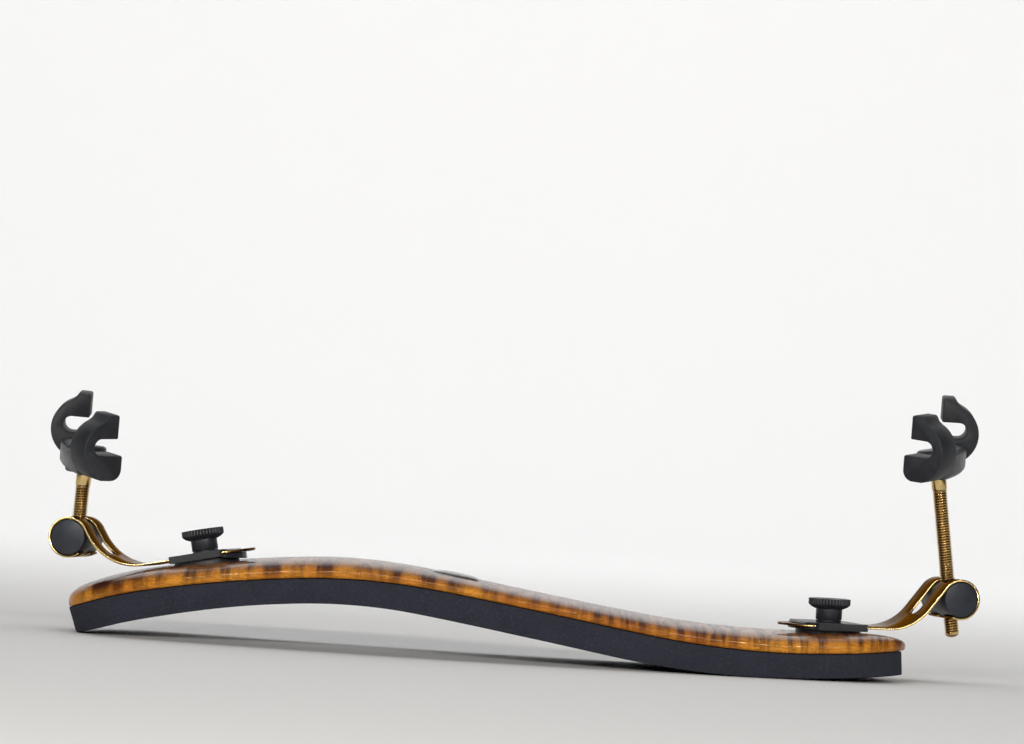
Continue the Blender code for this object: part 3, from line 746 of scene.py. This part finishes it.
def make_clamp(name, seat):
    top = KNOB_SHOULDER + KNOB_HEAD_HEIGHT
    cone = [(radius, KNOB_SHOULDER + rise) for radius, rise in KNOB_CONE]
    head = KNOB_HEAD_RADIUS + KNOB_SERRATION
    bore = SCREW_RADIUS + 0.1
    profile = [(0, SCREW_TOP + 0.1), (bore, SCREW_TOP + 0.1), (bore, KNOB_BOTTOM),
               (KNOB_NECK_RADIUS - 0.12, KNOB_BOTTOM), (KNOB_NECK_RADIUS, KNOB_BOTTOM + 0.12), *cone,
               (head - 0.02, KNOB_SHOULDER + 1.02), (head, KNOB_SHOULDER + 1.2), (head, top - 0.1),
               (head - 0.1, top), (head - 0.7, top), (head - 0.85, top - 0.12), (0, top - 0.12)]
    knob = make_object(name + "_ribbed_knob", turned_solid(profile, KNOB_RIBS * 8, ribbed), seat, 45)
    finish_piece(knob, LOOKS["black_plastic"], name + "_knob", "black_plastic", name + "_thumb_knob")
    shaft = threaded_shaft(SCREW_RADIUS, SCREW_BOTTOM, SCREW_TOP - 0.2, CLAMP_PITCH,
                           [(SCREW_RADIUS - 0.2, SCREW_TOP), (0, SCREW_TOP)], 0.5)
    screw = make_object(name + "_clamp_thread", shaft, seat, 50)
    finish_piece(screw, LOOKS["steel"], name + "_knob", "steel", name + "_clamp_screw")


# ---------------------------------------------------------------- leg


def strap_path(name, side):
    """Middle line of the strap in the seat's frame: where its flat part ends inside, the (x, z) points of
    the bend and of the wrap round the barrel, and the steepest angle.
    """
    barrel = seat_frame(name).inverted() @ joint_place(name + "_leg_fold") / MM
    start = side["bend_start"]
    loop = BARREL_RADIUS + LOOP_GAP + STRAP_THICKNESS / 2
    run, drop = barrel.x - start, STRAP_LEVEL + STRAP_BEND - barrel.z
    steepest = math.asin((STRAP_BEND + loop) / math.hypot(run, drop)) - math.atan2(drop, run)
    steepest = math.degrees(steepest)
    end = barrel.x - STRAP_REACH
    bend = arc((start, STRAP_LEVEL + STRAP_BEND), STRAP_BEND, -90, steepest - 90, 36)
    wrap = arc((barrel.x, barrel.z), loop, 90 + steepest, 90 - LOOP_END_ANGLE, 90)
    return end, bend, wrap, steepest


def strap_rows(name, side):
    """(x, z, half width, slot half width) along the strap; a slot half width of None is solid."""
    end, bend, wrap, steepest = strap_path(name, side)
    h, s = STRAP_HALF_WIDTH, SLOT_HALF_WIDTH
    rows = []
    xs = set()
    for i in range(13):
        xs.add(round(end + h * (1 - math.cos(math.radians(90 * i / 12))), 4))
    first, last = end + SLOT_START, end + SLOT_END
    for i in range(9):
        xs.add(round(first + s * (1 - math.cos(math.radians(90 * i / 8))), 4))
        xs.add(round(last - s * (1 - math.cos(math.radians(90 * i / 8))), 4))
    start = bend[0][0]
    count = 24
    for i in range(count):
        xs.add(round(end + h + (start - end - h) * i / count, 4))
    for x in sorted(xs):
        inside = max(0.0, 1 - (x - end) / h)
        half = max(0.5, h * math.sqrt(max(0.0, 1 - inside ** 2)))
        slot = None
        if first <= x <= last:
            near = min(x - first, last - x)
            into = max(0.0, 1 - near / s)
            slot = s * math.sqrt(max(0.0, 1 - into ** 2))
        if x < start:
            rows.append((x, STRAP_LEVEL, half, slot))
    step = STRAP_BEND * math.radians(steepest) / (len(bend) - 1)
    solid = STRAP_BEND * math.radians(BEND_SOLID_TURN)
    for i, (x, z) in enumerate(bend):
        into = max(0.0, 1 - (i * step - solid) / s)
        slot = s * math.sqrt(max(0.0, 1 - into ** 2)) if i * step >= solid else None
        rows.append((x, z, h, slot))
    rows += [(x, z, h, s) for x, z in wrap[1:]]
    return rows


def make_strap(name, side, seat):
    bm = bmesh.new()
    lines = []
    for x, z, half, slot in strap_rows(name, side):
        ys = (-half, 0.0, half) if not slot else (-half, -slot, slot, half)
        lines.append([bm.verts.new((x, y, z)) for y in ys])
    for row, after in zip(lines, lines[1:]):
        bm.faces.new((row[0], row[1], after[1], after[0]))
        bm.faces.new((row[-2], row[-1], after[-1], after[-2]))
    strap = make_object(name + "_strap", bm, seat)
    sheet = strap.modifiers.new("sheet", "SOLIDIFY")
    sheet.thickness = STRAP_THICKNESS * MM
    sheet.offset = 0
    sheet.use_even_offset = True
    bevel(strap, 0.09, 2, 50)
    apply_modifiers(strap, 50)
    return finish_piece(strap, LOOKS["leaf_brass_shaded_faces"], name + "_leg", "brass", name + "_leg_strap")


def make_barrel(name, matrix):
    half, radius = BARREL_HALF_LENGTH, BARREL_RADIUS
    profile = [(0, -half), (radius - 0.3, -half), (radius - 0.1, 0.06 - half), (radius, 0.3 - half)]
    profile += [(r, -z) for r, z in reversed(profile)]
    bm = turned_solid(profile, 96)
    bmesh.ops.rotate(bm, verts=bm.verts, matrix=Matrix.Rotation(math.pi / 2, 3, "X"))
    barrel = make_object(name + "_turned_barrel", bm, matrix)
    use_tool(barrel, make_object("bore", cylinder(BARREL_BORE, -8, 8), matrix))
    return finish_piece(barrel, LOOKS["black_metal"], name + "_hinge", "black_metal", name + "_barrel")


def make_rod(name, side, matrix):
    entry = side["rod_above"]
    neck = entry - COLLAR_LENGTH
    hub_end = entry + ROD_IN_HUB
    rest = [(ROD_RADIUS - 0.25, neck + 0.02), (ROD_NECK, neck + 0.05), (ROD_NECK, entry),
            (ROD_RADIUS, entry + 0.01), (ROD_RADIUS, hub_end), (0, hub_end)]
    shaft = threaded_shaft(ROD_RADIUS, -side["rod_below"], neck, ROD_PITCH, rest, 1.2)
    rod = make_object(name + "_screw", shaft, matrix, 50)
    finish_piece(rod, LOOKS["threaded_brass_shaded_roots"], name + "_claw", "brass", name + "_threaded_rod")
    low, high = neck + 0.08, entry - 0.05
    r = COLLAR_RADIUS
    profile = [(COLLAR_BORE, low), (r - 0.25, low), (r - 0.06, low + 0.1), (r, low + 0.3),
               (r, high - 0.1), (r - 0.1, high), (COLLAR_BORE, high)]
    collar = make_object(name + "_collar", turned_solid(profile, 64), matrix)
    finish_piece(collar, LOOKS["brass"], name + "_collar", "brass", name + "_rod_collar")


# ---------------------------------------------------------------- claw


def yoke_edge(y, offset):
    """Point beside the yoke's bowed middle line, at y along the claw; a positive offset is outwards."""
    slope = 2 * YOKE_SAG * y / FOOT_SPREAD ** 2
    length = math.hypot(1, slope)
    x = YOKE_BULGE - YOKE_SAG * (y / FOOT_SPREAD) ** 2
    return x + offset / length, y + offset * slope / length


def foot_matrix(mirror, toe):
    """Foot frame in the claw: X outwards, Y out along the foot's axis."""
    return at(FOOT_INSET, mirror * FOOT_SPREAD, FOOT_LEVEL) @ turned(mirror * toe, "Z")


def peg_matrix(mirror, toe):
    """Peg frame: Z along the peg from the yoke's end into the foot."""
    inner_face = at(0, -mirror * (FOOT_HALF_WIDTH + 0.3), PEG_LEVEL - FOOT_LEVEL)
    return foot_matrix(mirror, toe) @ inner_face @ turned(-90 * mirror, "X")


def make_yoke(name, side):
    mirror = side["mirror"]
    claw, hub = claw_frame(name, side), hub_frame(name, side)
    steps = 24
    ys = [YOKE_END * (2 * i / steps - 1) for i in range(steps + 1)]
    outline = [yoke_edge(y, YOKE_HALF_WIDTH) for y in ys]
    outline += [yoke_edge(y, -YOKE_HALF_WIDTH) for y in reversed(ys)]
    bm = bmesh.new()
    low = [bm.verts.new((x, y, YOKE_BOTTOM)) for x, y in outline]
    high = [bm.verts.new((x, y, YOKE_TOP)) for x, y in outline]
    join_rings(bm, low, high)
    bm.faces.new(list(reversed(low)))
    bm.faces.new(high)
    yoke = make_object(name + "_claw_yoke", bm, claw)
    bevel(yoke, 1.0, 4, 50)
    apply_modifiers(yoke)
    r = HUB_RADIUS
    barrel = [(0, HUB_BOTTOM), (r - 0.7, HUB_BOTTOM), (r - 0.2, HUB_BOTTOM + 0.2), (r, HUB_BOTTOM + 0.7),
              (r, HUB_TOP - 0.7), (r - 0.2, HUB_TOP - 0.2), (r - 0.7, HUB_TOP), (0, HUB_TOP)]
    use_tool(yoke, make_object("hub", turned_solid(barrel, 64), hub), "UNION")
    for _, way, toe in ENDS:
        peg = cylinder(PEG_RADIUS, -1.5, PEG_LENGTH + 0.3, 32)
        use_tool(yoke, make_object("peg", peg, claw @ peg_matrix(way * mirror, toe)), "UNION")
    use_tool(yoke, make_object("bore", cylinder(HUB_BORE, -2, 5.4), hub))
    return finish_piece(yoke, LOOKS["black_plastic"], name + "_claw", "black_plastic", name + "_yoke")


def foot_outline():
    """Side view of a foot, X outwards: an open jaw with a raised lip on top."""
    mouth = (MOUTH_TOP + MOUTH_BOTTOM) / 2
    radius = (MOUTH_TOP - MOUTH_BOTTOM) / 2
    outline = [(-UPPER_JAW, MOUTH_TOP), (-UPPER_JAW, LIP_TOP - 0.5), (-UPPER_JAW + 0.15, LIP_TOP - 0.15),
               (-UPPER_JAW + 0.5, LIP_TOP), (LIP_WIDTH - UPPER_JAW - 0.2, LIP_TOP),
               (LIP_WIDTH - UPPER_JAW + 0.25, LIP_TOP - 0.4), (LIP_WIDTH - UPPER_JAW + 0.8, LIP_TOP - 1.35)]
    outline += arc((0, 0), FOOT_RADIUS, 66, -75, 40)
    corner = (-LOWER_JAW + JAW_CORNER, JAW_CORNER - FOOT_RADIUS + 0.2)
    outline += arc(corner, JAW_CORNER, -90, -180, 12)
    outline += [(-LOWER_JAW, MOUTH_BOTTOM - 0.3), (-LOWER_JAW + 0.3, MOUTH_BOTTOM)]
    outline += arc((MOUTH_DEPTH, mouth), radius, -90, 90, 20)
    return outline


def make_feet(name, side):
    claw = claw_frame(name, side)
    for end, way, toe in ENDS:
        mirror = way * side["mirror"]
        matrix = claw @ foot_matrix(mirror, toe)
        block = prism(list(reversed(foot_outline())), FOOT_HALF_WIDTH)
        foot = make_object(f"{name}_{end}_rubber_foot", block, matrix)
        bevel(foot, 0.3, 3, 50)
        apply_modifiers(foot)
        hole = cylinder(PEG_RADIUS + 0.05, -1.0, 3.5, 32)
        use_tool(foot, make_object("hole", hole, claw @ peg_matrix(mirror, toe)))
        finish_piece(foot, LOOKS["rubber"], name + "_claw", "rubber", f"{name}_{end}_foot")


# ---------------------------------------------------------------- CAD pieces that stay, and the saddle


def dress(node, slot, width=None):
    """Keep a CAD node, with its edges rounded and a finer material."""
    obj = frame["nodes"][node]
    obj.data.materials.clear()
    obj.data.materials.append(LOOKS[slot])
    if width:
        weld = obj.modifiers.new("weld", "WELD")
        weld.merge_threshold = WELD_DISTANCE * MM
        bevel(obj, width, 2, 40)


def make_shoe_saddle(name, seat, bar):
    """Underside of the shoe, cut to the bar's crown just clear of the varnish."""
    profile = [(SADDLE_HOLE, SADDLE_DEPTH), (SADDLE_RADIUS, SADDLE_DEPTH), (SADDLE_RADIUS, SHOE_UNDERSIDE),
               (SADDLE_HOLE, SHOE_UNDERSIDE)]
    saddle = make_object(name + "_shoe_saddle", turned_solid(profile), seat, 40)
    bm = bmesh.new()
    bm.from_mesh(bar.data)
    use_tool(saddle, make_object("bar_above", bm, at(0, 0, SADDLE_GAP) @ BAR_FRAME))
    finish_piece(saddle, LOOKS["black_plastic"], name + "_shoe", "black_plastic")


def make_side(name, side, bar):
    seat, barrel = seat_frame(name), barrel_frame(name)
    make_clamp(name, seat)
    make_shoe_saddle(name, seat, bar)
    make_strap(name, side, seat)
    make_barrel(name, barrel)
    make_rod(name, side, barrel)
    make_yoke(name, side)
    make_feet(name, side)
    dress(name + "_guide_shoe", "black_plastic", 0.12)
    dress(name + "_clamp_washer", "black_metal", 0.05)
    dress(name + "_insert", "brass", 0.1)


# ---------------------------------------------------------------- room, light and camera

FLOOR_FRONT, FLOOR_BACK = -2500.0, 900.0
FLOOR_HALF_WIDTH = 3000.0
FLOOR_SWEEP = 600.0
FLOOR_LEVEL = -0.02
WALL_TOP = 2600.0

WORLD_FRONT, WORLD_BACK = 0.50, 1.3
FADE_FROM, FADE_TO = -0.75, 0.15
WHITE, WARM = (1, 1, 1), (1, 0.96, 0.9)
LIGHTS = (  # name, place, target, size, power in watts, colour
    ("strip_light", (0, -1100, 330), (0, 0, 10), (1500, 30), 10.0, WARM),
    ("top_softbox", (0, 150, 900), (0, 0, 0), (1400, 900), 4.0, WHITE),
    ("back_wash", (0, 500, 900), (0, 1500, 450), (2200, 500), 13.0, WHITE),
)

CAMERA_DISTANCE = 1400.0
CAMERA_HEIGHT = 66.4
CAMERA_ROLL = 3.5
CAMERA_LENS = 210.66
SENSOR_WIDTH = 36.0


def make_floor():
    """Pale floor that sweeps up behind the object."""
    bm = bmesh.new()
    profile = [(FLOOR_FRONT, 0.0), (FLOOR_BACK, 0.0)]
    profile += [(FLOOR_BACK + FLOOR_SWEEP * math.sin(a), FLOOR_SWEEP * (1 - math.cos(a)))
                for a in [math.pi / 2 * i / 16 for i in range(1, 17)]]
    profile.append((FLOOR_BACK + FLOOR_SWEEP, WALL_TOP))
    left = [bm.verts.new((-FLOOR_HALF_WIDTH, y, z)) for y, z in profile]
    right = [bm.verts.new((FLOOR_HALF_WIDTH, y, z)) for y, z in profile]
    for i in range(len(profile) - 1):
        bm.faces.new((left[i], right[i], right[i + 1], left[i + 1]))
    floor = make_object("floor", bm, at(0, 0, FLOOR_LEVEL), 60)
    floor.data.materials.append(Look("pale_floor").done((0.90, 0.90, 0.90, 1.0), 0.9))


def area_light(name, place, target, size, power, color):
    data = bpy.data.lights.new(name, "AREA")
    data.shape = "RECTANGLE"
    data.size, data.size_y = size[0] * MM, size[1] * MM
    data.energy = power
    data.color = color
    light = bpy.data.objects.new(name, data)
    bpy.context.scene.collection.objects.link(light)
    light.location = Vector(place) * MM
    direction = Vector(target) * MM - light.location
    light.rotation_euler = direction.to_track_quat("-Z", "Y").to_euler()


def make_light():
    """White surroundings that are dimmer on the camera's side, and the area lights."""
    world = bpy.data.worlds.new("studio")
    world.use_nodes = True
    bpy.context.scene.world = world
    nodes, links = world.node_tree.nodes, world.node_tree.links
    split = nodes.new("ShaderNodeSeparateXYZ")
    links.new(nodes.new("ShaderNodeTexCoord").outputs["Generated"], split.inputs[0])
    share = nodes.new("ShaderNodeMapRange")
    share.interpolation_type = "SMOOTHSTEP"
    for socket, value in zip(("From Min", "From Max", "To Min", "To Max"),
                             (FADE_FROM, FADE_TO, WORLD_FRONT, WORLD_BACK)):
        share.inputs[socket].default_value = value
    links.new(split.outputs["Y"], share.inputs["Value"])
    links.new(share.outputs[0], nodes["Background"].inputs["Strength"])
    for light in LIGHTS:
        area_light(*light)


def make_camera():
    """Long lens, level with the legs, looking along +Y and rolled a little."""
    data = bpy.data.cameras.new("camera")
    data.sensor_width = SENSOR_WIDTH
    data.lens = CAMERA_LENS
    data.clip_start, data.clip_end = 0.05, 20
    camera = bpy.data.objects.new("camera", data)
    bpy.context.scene.collection.objects.link(camera)
    roll = math.radians(CAMERA_ROLL)
    right = Vector((math.cos(roll), 0, math.sin(roll)))
    up = Vector((-math.sin(roll), 0, math.cos(roll)))
    matrix = Matrix((right, up, Vector((0, -1, 0)))).transposed().to_4x4()
    matrix.translation = SHIFT + Vector((0, -CAMERA_DISTANCE, CAMERA_HEIGHT)) * MM
    camera.matrix_world = matrix
    bpy.context.scene.camera = camera


maple_bar = make_wood()
make_foam()
make_badge()
for side_name, side_facts in SIDES.items():
    make_side(side_name, side_facts, maple_bar)
make_floor()
make_light()
make_camera()
bpy.context.scene.view_settings.view_transform = "Standard"
